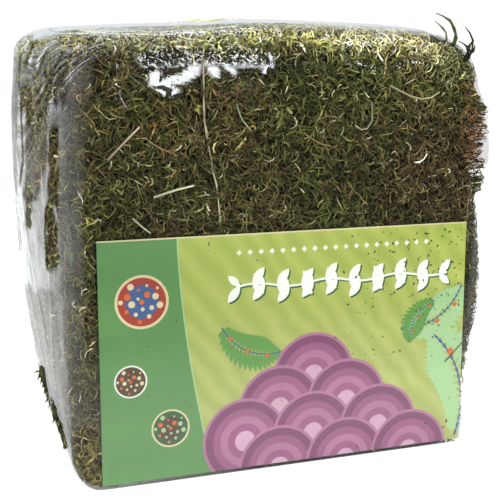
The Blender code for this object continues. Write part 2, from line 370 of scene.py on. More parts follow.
def lit_straw_rim(points):
    """How much a place is on the bale's bleached upper rim, which reaches lower down at its right end. Its
    shoots are straw-coloured and pale, partly bleached and partly painted light from above.
    """
    low = 0.268 - 0.024 * soft_step(0.07, 0.13, points[:, 0])
    return soft_step(low, low + 0.012, points[:, 2])


def colour_shares(points):
    """How much of each palette colour the shoots have at each place: patches of green, brown and straw."""
    broad = patches(points, 17, (4.2, 0.4, 2.2))
    patch = patches(points, 42, (0.3, 7.1, 3.3))
    rusty = patches(points, 30, (9.0, 1.1, 6.0))
    x, y, z = points.T
    front = soft_step(0.06, -0.06, y)

    def near(cx, cz, radius):
        return np.exp(-(((x - cx) / radius) ** 2 + ((z - cz) / radius) ** 2)) * front

    green = 0.55 + 0.9 * broad + 0.5 * near(0.00, 0.24, 0.05) + 0.3 * near(0.03, 0.20, 0.05)
    green -= 0.5 * near(0.10, 0.19, 0.04) + 0.35 * near(-0.12, 0.2, 0.04)
    brown = 0.45 - 0.8 * broad + 0.6 * patch + 0.6 * near(0.09, 0.18, 0.05) + 0.25 * near(0.04, 0.22, 0.03)
    lump = brown_lump(points)
    rust = 0.02 + 0.2 * soft_step(0.3, 0.55, rusty) + 6.0 * lump + 0.5 * near(-0.085, 0.215, 0.02)
    # On the rim, most of all on its right half, the shoots take straw and pale tints: partly their colour,
    # partly painted light
    rim = lit_straw_rim(points)
    rim_right = rim * soft_step(-0.02, 0.09, x) * (1 - 0.85 * soft_step(0.088, 0.122, x))
    straw = 0.08 + 0.12 * patch + 2.6 * rim_right + 0.4 * rim
    leaf_green = green * 0.75 + rim - 1.2 * rim_right
    olive = 0.6 + 0.4 * patch + 0.6 * soft_step(-0.08, -0.14, x) * front
    pale = 0.07 + 0.05 * patch + rim_right
    # In the palette's order
    shares = np.stack([green, leaf_green, olive, brown, brown * 0.5, straw, rust, pale], axis=1)
    shares = np.clip(shares, 0.01, None)
    shares[:, :4] *= (1 - 0.8 * lump)[:, None]
    return shares / shares.sum(axis=1, keepdims=True)


def sample_roots(rng, count, keep):
    """Random places on the block's skin, even over the faces that keep(centre, normal) accepts."""
    faces = [f for f in skin.faces if keep(f.calc_center_median(), f.normal)]
    areas = np.array([f.calc_area() for f in faces])
    chosen = rng.choice(len(faces), count, p=areas / areas.sum())
    corners = np.array([[v.co[:] for v in f.verts[:3]] for f in faces])[chosen]
    a, b = rng.random(count), rng.random(count)
    flip = a + b > 1
    a[flip], b[flip] = 1 - a[flip], 1 - b[flip]
    first, second, third = corners.transpose(1, 0, 2)
    roots = first + a[:, None] * (second - first) + b[:, None] * (third - first)
    normals = np.array([f.normal[:] for f in faces])[chosen]
    return roots, normals


def unit(vectors):
    return vectors / np.maximum(np.linalg.norm(vectors, axis=-1, keepdims=True), 1e-9)


def walk(rng, roots, normals, lengths, curl, swirl=0.9):
    """Each shoot's path over the skin: (places, skin normals, room out to the film), one for each step."""
    swirled = 2.6 * np.pi * patches(roots, 38) + rng.normal(0, swirl, len(roots))
    heading = swirled + rng.integers(0, 2, len(roots)) * np.pi
    aside = unit(np.cross(normals, np.where(np.abs(normals[:, 2:3]) < 0.8, [[0.0, 0, 1]], [[1.0, 0, 0]])))
    up = np.cross(normals, aside)
    ahead = aside * np.cos(heading)[:, None] + up * np.sin(heading)[:, None]
    turn = rng.normal(0, curl, len(roots)) / STEPS
    spot = roots
    places, outs, rooms = [], [], []
    for _ in range(STEPS + 1):
        found = [skin_tree.find_nearest(p) for p in spot]
        spot = np.array([f[0][:] for f in found])
        out = np.array([f[1][:] for f in found])
        room = np.empty(len(spot))
        for i in range(len(spot)):
            start = Vector(spot[i] - out[i] * CAST_FROM)
            hit = cover_tree.ray_cast(start, Vector(out[i]), CAST_REACH)
            room[i] = hit[3] - CAST_FROM - FILM_GAP if hit[0] is not None else MOUTH_RISE
        places.append(spot)
        outs.append(out)
        rooms.append(room)
        ahead = unit(ahead - out * np.sum(ahead * out, axis=1, keepdims=True))
        across = np.cross(out, ahead)
        angle = turn + rng.normal(0, WAVER, len(roots))
        ahead = ahead * np.cos(angle)[:, None] + across * np.sin(angle)[:, None]
        turn = turn * TIGHTEN
        spot = spot + ahead * (lengths / STEPS)[:, None]
    return np.stack(places, 1), np.stack(outs, 1), np.stack(rooms, 1)


def bend(rng, shape, spine, outs, width, tints, bright):
    """The points, faces, colours and atlas places of copies of a template bent along paths."""
    count = len(spine)
    tangent = unit(np.gradient(spine, axis=1))
    lengths = np.linalg.norm(np.diff(spine, axis=1), axis=2).sum(axis=1)
    side = unit(np.cross(tangent, outs))
    upward = np.cross(side, tangent)
    along = np.linspace(0, 1, STEPS + 1)[None, :]
    tilt = rng.normal(0, 0.45, count)[:, None] + rng.normal(0, 0.5, count)[:, None] * along
    face_side = side * np.cos(tilt)[..., None] + upward * np.sin(tilt)[..., None]
    face_up = upward * np.cos(tilt)[..., None] - side * np.sin(tilt)[..., None]
    points, faces = shape
    rows = np.clip(np.round(points[:, 1] * STEPS).astype(int), 0, STEPS)
    ahead = points[:, 1] - rows / STEPS
    verts = spine[:, rows] + width[:, None, None] * (
        points[None, :, 0:1] * face_side[:, rows] + points[None, :, 2:3] * face_up[:, rows]
    ) + ahead[None, :, None] * lengths[:, None, None] * tangent[:, rows]
    verts[..., 2] = np.maximum(verts[..., 2], ABOVE_FLOOR)
    # Lighter towards the tip: paler tips, and painted shade at the root end, which sinks into the bed
    tip_light = 0.62 + 0.75 * points[:, 1] ** 1.5
    colours = tints[:, None, :] * bright[:, None, None] * tip_light[None, :, None]
    return verts, faces, colours, points[:, :2] * (0.9, 0.9) + (0.5, 0.05)


def shoot_layer(seed, shape, roots, normals, width, length, curl):
    """One layer of shoots, pressed against the film from their crests down into the bed at their ends."""
    rng = np.random.default_rng(seed)
    count = len(roots)
    lengths = np.clip(rng.lognormal(math.log(length), 0.34, count), SHORTEST_SHOOT, LONGEST_SHOOT)
    lengths = lengths * (1 - 0.4 * brown_lump(roots))
    places, outs, rooms = walk(rng, roots, normals, lengths, curl)
    outs[:, 1:-1] = unit(outs[:, :-2] + 2 * outs[:, 1:-1] + outs[:, 2:])
    layer = rng.beta(1.3, 1.4, count)
    along = np.linspace(0, 1, STEPS + 1)[None, :]
    crest = np.sin(np.pi * np.clip(along * 0.82 + 0.12, 0, 1)) ** 0.7
    widths = width * np.exp(rng.normal(0, 0.25, count))
    depth = (-BED_DEPTH - END_DEPTH) * (1 - crest) + (rooms - LAYER_DEPTH * layer[:, None]) * crest
    depth = np.minimum(depth, rooms - 0.25 * widths[:, None])
    shares = colour_shares(roots)
    pick = (rng.random((count, 1)) > np.cumsum(shares, axis=1)[:, :-1]).sum(axis=1)
    tints = 0.66 * palette[pick] + 0.34 * (shares @ palette)
    # Shoots differ in tone at random, and the deeper ones are painted darker: painted shade between the
    # shoots
    bright = np.exp(rng.normal(-0.12, 0.46, count)) * np.maximum(1.9 - 1.85 * layer, 0.1)
    x, y, z = roots.T
    # Painted light: the shoots of the upper rim are made several times lighter, as in a bright light from
    # above, except at its far right end
    bright *= 1 + lit_straw_rim(roots) * (2.7 + 0.6 * soft_step(0.0, 0.07, x)) * soft_step(0.115, 0.070, x)
    # On the front, below the rim, they are painted darker, the more so towards the left: painted shade
    front_shade_share = soft_step(-0.08, -0.12, y) * soft_step(0.276, 0.264, z)
    bright *= 1 - (0.36 + 0.10 * soft_step(-0.03, -0.09, x)) * front_shade_share
    # At the front's left corner they are painted lighter: painted light, where the corner is otherwise dark
    bright *= 1 + 1.2 * soft_step(-0.122, -0.136, x) * soft_step(-0.102, -0.118, y)
    # Under the rim's left half the shoots lie deeper, in the film's shade
    under_rim = soft_step(0.252, 0.258, z) * soft_step(0.273, 0.267, z)
    shaded = under_rim * soft_step(-0.11, -0.09, x) * soft_step(0.02, -0.02, x)
    bright *= 1 - 0.6 * shaded * soft_step(-0.05, -0.09, y)
    return bend(rng, shape, places + outs * depth[..., None], outs, widths, tints, bright)


def shoots_piece(name, layers, material):
    """One mesh of all the shoots of the layers, each shoot with its own cell in the atlas."""
    total = sum(layer[0].shape[0] for layer in layers)
    cells = math.ceil(math.sqrt(total))
    verts, faces, colours, uvs, done, offset = [], [], [], [], 0, 0
    for places, shape_faces, tints, atlas in layers:
        count, size = places.shape[:2]
        verts.append(places.reshape(-1, 3))
        faces.append((shape_faces[None] + (np.arange(count) * size)[:, None, None]).reshape(-1, 3) + offset)
        colours.append(tints.reshape(-1, 3))
        cell = np.arange(done, done + count)
        corner = np.stack([cell % cells, cell // cells], axis=1)[:, None, :]
        uvs.append(((corner + np.clip(atlas, 0.05, 0.95)[None]) / cells).reshape(-1, 2))
        done += count
        offset += count * size
    verts, faces, colours, uvs = (np.concatenate(part) for part in (verts, faces, colours, uvs))
    mesh = bpy.data.meshes.new(name)
    mesh.vertices.add(len(verts))
    mesh.vertices.foreach_set("co", verts.ravel())
    mesh.loops.add(faces.size)
    mesh.loops.foreach_set("vertex_index", faces.ravel())
    mesh.polygons.add(len(faces))
    mesh.polygons.foreach_set("loop_start", np.arange(0, faces.size, 3))
    mesh.attributes.new("shoot_colour", "FLOAT_COLOR", "POINT").data.foreach_set(
        "color", np.concatenate([np.clip(colours, 0, 1), np.ones((len(colours), 1))], axis=1).ravel()
    )
    mesh.uv_layers.new(name="OFBake").data.foreach_set("uv", uvs[faces.ravel()].ravel())
    mesh.update()
    mesh.validate()
    mesh.shade_smooth()
    mesh.materials.append(material)
    piece = bpy.data.objects.new(name, mesh)
    bpy.context.scene.collection.objects.link(piece)
    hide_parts("moss_block")
    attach(piece, "root")


# Dry moss shoots: papery leaves that have lost their sap, each shoot with its own colour, faintly glossy
dry_moss, tree, shader, place = new_material(
    "dry moss shoots", {"Roughness": 0.7, "Specular IOR Level": 0.14}
)
shoot_colour = add_node(tree, "Attribute", attribute_name="shoot_colour")
leaf_spots = add_node(tree, "TexNoise", {"Vector": place, "Scale": 1100.0, "Detail": 2.0})
spotted = add_node(
    tree, "Mix", {0: leaf_spots, 6: (0.55, 0.55, 0.52, 1), 7: (1.45, 1.4, 1.3, 1)}, data_type="RGBA"
)
leaf_colour = add_node(
    tree, "Mix", {0: 1.0, 6: shoot_colour.outputs["Color"], 7: spotted.outputs[2]},
    data_type="RGBA", blend_type="MULTIPLY",
)
tree.links.new(leaf_colour.outputs[2], shader.inputs["Base Color"])


def clear_of_card(centre):
    """False well inside the card's outline, where nothing can be seen."""
    inside_x = card_low.x + 0.006 < centre.x < card_high.x - 0.006
    return not (centre.y < card_high.y + 0.02 and inside_x and centre.z < card_high.z - 0.005)


def main_side(normal):
    sizes = [abs(c) for c in normal]
    axis = sizes.index(max(sizes))
    return ("left", "front", "bottom")[axis] if normal[axis] < 0 else ("right", "back", "top")[axis]


# Each kind of shoot, fine, leafy and feathery: (shape, width, length, curl)
KINDS = ((strip, 0.00078, 0.0088, 1.5), (blade, 0.0012, 0.0100, 1.5), (frond, 0.0015, 0.0120, 1.6))
# How many of each kind are on each side, in hundreds
SIDES = {
    "front": (146, 18, 7), "left": (116, 18, 6), "right": (100, 18, 6), "back": (100, 18, 6),
    "top": (100, 18, 8), "bottom": (30, 6, 2),
}
for number, (side_name, hundreds) in enumerate(SIDES.items()):
    rng = np.random.default_rng(100 + number)

    def on_this_side(centre, normal):
        return main_side(normal) == side_name and (side_name != "front" or clear_of_card(centre))

    layers = []
    for i, (shape, *sizes) in enumerate(KINDS):
        seed = 200 + 100 * i + number
        roots, normals = sample_roots(rng, 100 * hundreds[i], on_this_side)
        layers.append(shoot_layer(seed, shape, roots, normals, *sizes))
    shoots_piece("moss_shoots_" + side_name, layers, dry_moss)

# The dry stems
# Bare stalks that came up with the moss, straw-coloured, 12 to 35 mm long and 0.4 to 1.6 mm thick, caught
# between the shoots and the film. The larger ones lie where the photo shows them.

LOOSE_STEMS = 260
STEM_GAP = 0.0006
# Where no film is over a stem, it lies as if the film were this far from the start of the cast
OPEN_CAST = 0.006
FINE_POINTS = 41


def stalk():
    """A round stalk, tapered towards its tip."""
    bm = bmesh.new()
    bmesh.ops.create_cone(bm, cap_ends=True, segments=5, radius1=0.5, radius2=0.34, depth=1)
    upright = [edge for edge in bm.edges if abs(edge.verts[0].co.z - edge.verts[1].co.z) > 0.5]
    bmesh.ops.subdivide_edges(bm, edges=upright, cuts=STEPS - 1)
    for vert in bm.verts:
        vert.co = (vert.co.x, vert.co.z + 0.5, vert.co.y)
    bmesh.ops.recalc_face_normals(bm, faces=bm.faces[:])
    return bm


def smooth_path(corners):
    """STEPS + 1 points evenly along a soft curve through the corners."""
    corners = np.array(corners, dtype=float)
    knots = np.linspace(0, 1, len(corners))
    fine = np.linspace(0, 1, FINE_POINTS)
    bent = np.stack([np.interp(fine, knots, corners[:, i]) for i in range(corners.shape[1])], axis=1)
    for _ in range(6):
        bent[1:-1] = (bent[:-2] + bent[1:-1] + bent[2:]) / 3
    return bent[np.linspace(0, FINE_POINTS - 1, STEPS + 1).round().astype(int)]


# The stems that stand out in the photo: (pixels from end to end), thickness in mm, colour
SEEN_STEMS = [
    (((107, 160), (123, 143), (139, 127)), 1.6, "#b5a292"),
    (((153, 197), (173, 190), (193, 185)), 1.6, "#d2ceb2"),
    (((389, 86), (401, 92), (415, 99), (428, 99), (438, 92)), 1.5, "#a19d7d"),
    (((370, 102), (371, 110), (371, 121), (366, 129), (360, 130), (354, 125)), 1.3, "#98937c"),
    (((236, 104), (240, 118), (250, 130)), 1.0, "#9aa582"),
    (((132, 218), (141, 226), (150, 233)), 1.4, "#c5c0aa"),
    (((118, 92), (122, 101), (126, 108)), 0.7, "#9a9aa8"),
    (((424, 140), (419, 150), (413, 155)), 0.8, "#9a7f68"),
    (((303, 133), (318, 143), (330, 146)), 0.7, "#9c8f62"),
]
round_stalk = template(stalk())
rng = np.random.default_rng(7)
spines, facings = [], []
for pixels, _, _ in SEEN_STEMS:
    hits = [skin_tree.ray_cast(camera.location, sight(*pixel)) for pixel in smooth_path(pixels)]
    outward = np.array([hit[1][:] for hit in hits])
    rooms = [
        cover_tree.ray_cast(hit[0] - hit[1] * CAST_FROM, hit[1], CAST_REACH)[3] or OPEN_CAST for hit in hits
    ]
    reach = np.array(rooms) - CAST_FROM - FILM_GAP - STEM_GAP
    spines.append(np.array([hit[0][:] for hit in hits]) + outward * reach[:, None])
    facings.append(outward)
stems = bend(
    rng, round_stalk, np.array(spines), np.array(facings), np.array([mm / 1000 for _, mm, _ in SEEN_STEMS]),
    tints_of(code for _, _, code in SEEN_STEMS), np.ones(len(SEEN_STEMS)),
)


def any_side(centre, normal):
    return clear_of_card(centre) and normal.z > -0.6


roots, normals = sample_roots(rng, LOOSE_STEMS, any_side)
lengths = rng.uniform(0.012, 0.030, len(roots))
places, outs, rooms = walk(rng, roots, normals, lengths, 0.35, swirl=1.6)
sunk = rng.uniform(0.0005, 0.0030, len(roots))[:, None]
sunk = sunk + 0.002 * rng.random((len(roots), 1)) * np.linspace(0, 1, STEPS + 1)
loose_tints = tints_of(("#b3a87c", "#8f7a55", "#c6c09c", "#7d6a4a"))
loose_stems = bend(
    rng, round_stalk, places + outs * (rooms - sunk)[..., None], outs,
    rng.uniform(0.0004, 0.0009, len(roots)), loose_tints[rng.integers(0, 4, len(roots))],
    rng.uniform(0.6, 1.1, len(roots)),
)
shoots_piece("dry_stems", [stems, loose_stems], dry_moss)

# The stray shoots
# Shoots that were never pressed in: a few stand up from the open top at its right front corner, dark
# against the light, and a fringe hangs out under the film along the lower left edge.

# Each stray: (pixels from root to tip), width in mm, colour
STRAYS = [
    (((453, 50), (457, 38), (455, 28), (450, 20), (443, 16), (436, 13)), 2.2, "#47542a"),
    (((452, 48), (456, 36), (453, 26), (449, 21)), 2.6, "#4f5a2e"),
    (((446, 46), (447, 34), (442, 27), (435, 21)), 1.6, "#5f604a"),
    (((462, 66), (470, 56), (474, 44), (471, 34), (465, 27)), 2.6, "#2a2b1c"),
    (((462, 64), (468, 54), (468, 47), (474, 40)), 3.0, "#23241a"),
    (((464, 64), (472, 54), (467, 46), (459, 41)), 2.2, "#2c2d20"),
    (((464, 62), (470, 54), (474, 50), (475, 45)), 2.4, "#2a2a1e"),
    (((440, 44), (436, 38), (430, 35), (426, 34)), 1.3, "#4d4d3a"),
    (((466, 80), (472, 72), (474, 67), (472, 63)), 1.3, "#55563f"),
]


def level_with(anchor, px, py):
    """The point seen at a pixel, as far in front of the camera as the anchor is."""
    forward = camera.matrix_world.to_3x3() @ Vector((0, 0, -1))
    ray = sight(px, py)
    return camera.location + ray * ((anchor - camera.location).dot(forward) / ray.dot(forward))


# A stray whose root is seen just past the block's outline stands here, at its right front corner
CORNER_FOOT = Vector((0.140, -0.06, 0.26))
spines, facings = [], []
for pixels, _, _ in STRAYS:
    foot = skin_tree.ray_cast(camera.location, sight(*pixels[0]))[0] or CORNER_FOOT
    spines.append(np.array([level_with(foot, *pixel)[:] for pixel in smooth_path(pixels)]))
    facings.append(np.tile((-0.3, -0.9, 0.3), (STEPS + 1, 1)))
stray_widths = np.array([mm / 1000 for _, mm, _ in STRAYS])
stray_tints = tints_of(code for _, _, code in STRAYS)
spines, facings = np.array(spines), np.array(facings)
# Each stray is two leafy blades on one stem, set crosswise, so that it has a body from every side
crosswise = unit(facings), unit(np.cross(facings, np.gradient(spines, axis=1)))
top_strays = [
    bend(rng, blade, spines, facing, stray_widths, stray_tints, np.ones(len(STRAYS))) for facing in crosswise
]
shoots_piece("stray_shoots_top", top_strays, dry_moss)

# The fringe's line in the photo, from its upper end down, and half its width in pixels
FRINGE_LINE = ((40, 364), (44, 378), (48, 390), (53, 403), (57, 415), (61, 428), (65, 440), (68, 448))
FRINGE_HALF_WIDTH = 1.9
FRINGE_SHOOTS = 330
# A place on the left side, for the pixels that miss the film
LEFT_SIDE = Vector((-0.15, 0.0, 0.05))
# The tips that curl up and out at its upper end
CURLED_TIPS = (
    ((42, 376), (38, 370), (34, 373)), ((42, 378), (39, 371), (33, 373)), ((42, 374), (41, 367), (42, 361)),
)


def on_film(px, py):
    """The film's surface seen at a pixel, or beside it where the pixel is just past the outline."""
    for inwards in range(40):
        hit = cover_tree.ray_cast(camera.location, sight(px + inwards, py))[0]
        if hit is not None:
            return hit
    return cover_tree.find_nearest(level_with(LEFT_SIDE, px, py))[0]


line = np.array(FRINGE_LINE, dtype=float)
spines, facings = [], []
for _ in range(FRINGE_SHOOTS):
    start = rng.uniform(0, len(line) - 1.9)
    below = int(start)
    run = line[below + 1] - line[below]
    heading = math.atan2(run[1], run[0]) + rng.normal(0, 0.10)
    spot = line[below] + (start - below) * run + rng.uniform(-1, 1, 2) * FRINGE_HALF_WIDTH
    turn = rng.normal(0, 0.08)
    anchor = on_film(*spot)
    away = rng.uniform(-0.002, 0.002)
    path = []
    for _ in range(STEPS + 1):
        point = level_with(anchor, *spot)
        path.append((point + (point - camera.location).normalized() * away)[:])
        heading += turn
        spot = spot + np.array((math.cos(heading), math.sin(heading))) * rng.uniform(1.4, 2.4)
    spines.append(path)
    facings.append([(camera.location - anchor).normalized()[:]] * (STEPS + 1))
for curled in CURLED_TIPS:
    anchor = on_film(*curled[0])
    spines.append([level_with(anchor, *pixel)[:] for pixel in smooth_path(curled)])
    facings.append([(camera.location - anchor).normalized()[:]] * (STEPS + 1))
fringe_tints = tints_of(("#4c4a2a", "#33321d", "#24221a", "#6f7042", "#5d6130"))
count = len(spines)
fringe = bend(
    rng, blade, np.array(spines), np.array(facings), rng.uniform(0.0014, 0.0024, count),
    fringe_tints[rng.integers(0, 5, count)], rng.uniform(0.6, 1.3, count),
)
shoots_piece("fringe_shoots_left", [fringe], dry_moss)

# The printed card
# Coated card, printed in soft greens, flat on the moss. The CAD part stays and gets the ground colour. The
# print is inks laid on its face: a darker panel, a white garland, rows of mauve scallops, fern fronds and
# pebble roundels.

# Coated card: a smooth clay coat over the fibres, satin, with its yellow-green ground paler at the foot
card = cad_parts["printed_card"]
card_stock, tree, shader, place = new_material("coated card", {"Roughness": 0.38, "Specular IOR Level": 0.5})
height = add_node(tree, "SeparateXYZ", {0: place}).outputs["Z"]
fall = add_node(tree, "MapRange", {"Value": height, "From Min": card_low.z, "From Max": card_high.z})
ground = add_node(tree, "ValToRGB", {0: fall})
ground.color_ramp.elements[0].color = linear("#bcc07a")
ground.color_ramp.elements[1].color = linear("#b9c361")
# Soft slanting bands about 14 mm apart, as if light fell through leaves on the printed ground
slanted = add_node(tree, "Mapping", {"Vector": place, "Rotation": (0, math.radians(38), 0)})
bands = add_node(tree, "TexWave", {"Vector": slanted, "Scale": 23.0, "Distortion": 5.0, "Detail": 2.0})
banded = add_node(
    tree, "Mix", {0: bands.outputs["Fac"], 6: (0.88, 0.93, 0.82, 1), 7: (1.06, 1.05, 1.1, 1)},
    data_type="RGBA",
)
printed = add_node(
    tree, "Mix", {0: 1.0, 6: ground, 7: banded.outputs[2]}, data_type="RGBA", blend_type="MULTIPLY"
)
tree.links.new(printed.outputs[2], shader.inputs["Base Color"])
for material_slot in card.material_slots:
    material_slot.material = card_stock

INKS = {
    "panel green": "#689c58", "deep green": "#35663a", "white": "#fbfbf4", "pale green": "#b3d3a0",
    "plum": "#8a4a72", "mauve": "#a5628a", "rose": "#b97f9f", "blush": "#d6b0c4", "ocean": "#4a6a9c",
    "orange": "#e0762c", "brown": "#5a4327", "cream": "#e9ddb2", "red": "#b04331", "leaf": "#6ea54e",
}
# Each shape lies this far in front of the one before it
INK_STEP = 0.0000006


def ink_material(name, colour):
    """Offset ink on coated stock: satin, with the faint mottle of the paper's grain, about 1 mm."""
    material, tree, shader, place = new_material(
        name + " ink", {"Roughness": 0.36, "Specular IOR Level": 0.5}
    )
    grain = add_node(tree, "TexNoise", {"Vector": place, "Scale": 900.0, "Detail": 2.0})
    tones = [tuple(channel * tone for channel in linear(colour)[:3]) + (1,) for tone in (0.88, 1.10)]
    mottled = add_node(tree, "Mix", {0: grain, 6: tones[0], 7: tones[1]}, data_type="RGBA")
    tree.links.new(mottled.outputs[2], shader.inputs["Base Color"])
    return material


print_mesh = bmesh.new()
print_layers = 0


def stamp(verts, ink, u=0.0, v=0.0, turn=0.0):
    """Lays a flat shape on the card, turned, its centre u mm from the left edge and v mm above the foot."""
    global print_layers
    print_layers += 1
    cos, sin = math.cos(math.radians(turn)), math.sin(math.radians(turn))
    for vert in verts:
        x, z = vert.co.x * cos - vert.co.y * sin + u, vert.co.x * sin + vert.co.y * cos + v
        vert.co = (card_low.x + x / 1000, card_low.y - INK_STEP * print_layers, card_low.z + z / 1000)
    for face in {face for vert in verts for face in vert.link_faces}:
        face.material_index = list(INKS).index(ink)


def disc(radius, segments=40):
    return bmesh.ops.create_circle(print_mesh, cap_ends=True, segments=segments, radius=radius)["verts"]


def leaf(length, width):
    """A pointed leaf, its foot at the centre."""
    verts = disc(1.0, 16)
    for vert in verts:
        along = (vert.co.x + 1) / 2
        vert.co = (along * length, width / 2 * math.copysign(math.sin(math.pi * along) ** 0.8, vert.co.y), 0)
    return verts


def band(width, path, cells=40):
    """A band of a width along path(share), which gives (u, v) in mm."""
    verts = bmesh.ops.create_grid(print_mesh, x_segments=cells, y_segments=1, size=0.5)["verts"]
    for vert in verts:
        share = vert.co.x + 0.5
        u, v = path(share)
        next_u, next_v = path(share + 0.01)
        run = math.hypot(next_u - u, next_v - v)
        side = width * vert.co.y
        vert.co = (u - side * (next_v - v) / run, v + side * (next_u - u) / run, 0)
    return verts


CARD_WIDE, CARD_TALL = (card_high.x - card_low.x) * 1000, (card_high.z - card_low.z) * 1000


def panel_edge(share):
    """The left panel's curved right edge, from the card's foot to its top."""
    return 50 + 22 * max(0.0, 1 - share) ** 1.6, share * CARD_TALL


panel = bmesh.ops.create_grid(print_mesh, x_segments=1, y_segments=16, size=0.5)["verts"]
for vert in panel:
    edge_u, v = panel_edge(vert.co.y + 0.5)
    vert.co = ((vert.co.x + 0.5) * edge_u, v, 0)
stamp(panel, "panel green")
stamp(band(1.0, panel_edge), "pale green")
stamp(band(0.9, lambda share: (share * CARD_WIDE, CARD_TALL - 0.45), 1), "cream")

# Rows of scallops in mauves, an old fan pattern, heaped like a mound of cushions
SCALLOP_RINGS = ((29, "rose"), (27, "plum"), (22, "mauve"), (17, "rose"), (12, "mauve"), (7, "blush"))
for v, centres in ((58, (142,)), (38, (118, 166)), (18, (94, 142, 190)), (-3, (118, 166, 214))):
    for u in centres:
        for radius, ink in SCALLOP_RINGS:
            stamp(disc(radius), ink, u, v)

# The white garland with its shadow, and the row of white diamonds over it
GARLAND_FROM, GARLAND_TO, GARLAND_V = 88, 240, 121
GARLAND_LEAVES, DIAMONDS = 18, 19


def garland_line(share):
    u = GARLAND_FROM + share * (GARLAND_TO - GARLAND_FROM)
    return u, GARLAND_V + 1.6 * math.sin((u - GARLAND_FROM) / 8.1)


for ink, shift in (("deep green", 1.0), ("white", 0.0)):
    stamp(band(1.5, garland_line), ink, shift, -shift)
    for i in range(GARLAND_LEAVES):
        u, v = garland_line((i + 0.3) / GARLAND_LEAVES)
        stamp(leaf(13, 6.0), ink, u + shift, v - shift, 52 if i % 2 else -128)
        stamp(leaf(10.5, 5.0), ink, u + shift, v - shift, -42 if i % 2 else 138)
for i in range(DIAMONDS):
    stamp(disc(1.9, 4), "white", 90 + i * 7.4, 143)

# Fern fronds with orange berries. A full-sized frond's stem goes on by FROND_STEP mm from leaf to leaf.
FROND_STEP, FROND_LEAVES = 5.2, 17
# Each frond: (foot, foot's heading, size, ink)
for foot_u, foot_v, lean, size, ink in (
    (250, 2, 70, 1.0, "pale green"), (205, 84, -6, 0.66, "pale green"), (232, 102, 200, 0.42, "leaf"),
    (78, 96, -62, 0.55, "leaf"),
):
    spine = [(foot_u, foot_v)]
    headings = [math.radians(lean + 4.5 * step) for step in range(FROND_LEAVES)]
    for heading in headings:
        u, v = spine[-1]
        spine.append((u + FROND_STEP * size * math.cos(heading), v + FROND_STEP * size * math.sin(heading)))
    for step, heading in enumerate(headings[1:], start=1):
        blade_length = 26 * size * math.sin(math.pi * (step + 1.5) / (FROND_LEAVES + 2))
        for side in (-62, 62):
            stamp(leaf(blade_length, 6.4 * size), ink, *spine[step], math.degrees(heading) + side)
    for step, heading in enumerate(headings):
        stamp(leaf(6.4 * size, 2.0 * size), "ocean", *spine[step], math.degrees(heading))
    for step in (3, 8, 13):
        stamp(disc(2.6 * size, 14), "orange", spine[step][0] + 3 * size, spine[step][1] - 2 * size)

# Three roundels of pebbles on the panel, set in a spiral, each a golden angle on from the last
PEBBLES, GOLDEN_ANGLE = 18, 2.4
for u, v, radius, rim, face, chip in (
    (27, 116, 17, "cream", "red", "cream"), (19, 66, 10.5, "white", "brown", "cream"),
    (44, 33, 12.5, "cream", "deep green", "pale green"),
):
    stamp(disc(radius), rim, u, v)
    stamp(disc(radius * 0.9), face, u, v)
    stamp(disc(radius * 0.62), "ocean" if radius > 15 else "brown", u, v)
    for chip_number in range(PEBBLES):
        angle = GOLDEN_ANGLE * chip_number
        out = radius * 0.19 * math.sqrt(chip_number)
        spot = disc(radius * (0.10 + 0.04 * math.sin(5 * chip_number)), 7)
        chip_ink = chip if chip_number % 3 else "orange"
        stamp(spot, chip_ink, u + out * math.cos(angle), v + out * math.sin(angle), 30)

# Nothing is printed past the card's edges
CARD_EDGES = (card_low, (-1, 0, 0)), (card_low, (0, 0, -1)), (card_high, (1, 0, 0)), (card_high, (0, 0, 1))
for corner, away in CARD_EDGES:
    bmesh.ops.bisect_plane(
        print_mesh, geom=print_mesh.verts[:] + print_mesh.edges[:] + print_mesh.faces[:], plane_co=corner,
        plane_no=away, clear_outer=True,
    )
bmesh.ops.triangulate(print_mesh, faces=print_mesh.faces[:])


def face_front(bm):
    """Turns the faces of a flat mesh towards the front."""
    bm.normal_update()
    for face in bm.faces:
        if face.normal.y > 0:
            face.normal_flip()


face_front(print_mesh)
card_print = finished("card_print", print_mesh, [ink_material(*ink) for ink in INKS.items()], smooth=False)
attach(card_print, "root")

# The crumbs behind the film
# Leaf crumbs and dust that slipped between the card and the film, most of them at the card's right end, and
# near the lower right corner a short row of dark flakes: painted shade of a crease in the print's surface.

CRUMB_LIFT = 0.00042
CRUMBS_AT_RIGHT, CRUMBS_ELSEWHERE, CREASE_SHADE_FLAKES = 150, 60, 14
rng = np.random.default_rng(11)
crumbs_mesh = bmesh.new()


def crumb(u, v, size, stretch, turn):
    """A flat ragged flake of six corners."""
    verts = bmesh.ops.create_circle(crumbs_mesh, cap_ends=True, segments=6, radius=1)["verts"]
    cos, sin = math.cos(turn), math.sin(turn)
    for vert in verts:
        ragged = rng.uniform(0.6, 1.2) * size
        x, y = vert.co.x * ragged * stretch, vert.co.y * ragged
        across, up = u + x * cos - y * sin, v + x * sin + y * cos
        vert.co = (card_low.x + across / 1000, card_low.y - CRUMB_LIFT, card_low.z + up / 1000)


def on_card(px, py):
    """Where a pixel of the photo falls on the card's face, in mm from its lower left corner."""
    ray = sight(px, py)
    place = camera.location + ray * ((card_low.y - camera.location.y) / ray.y)
    return (place.x - card_low.x) * 1000, (place.z - card_low.z) * 1000


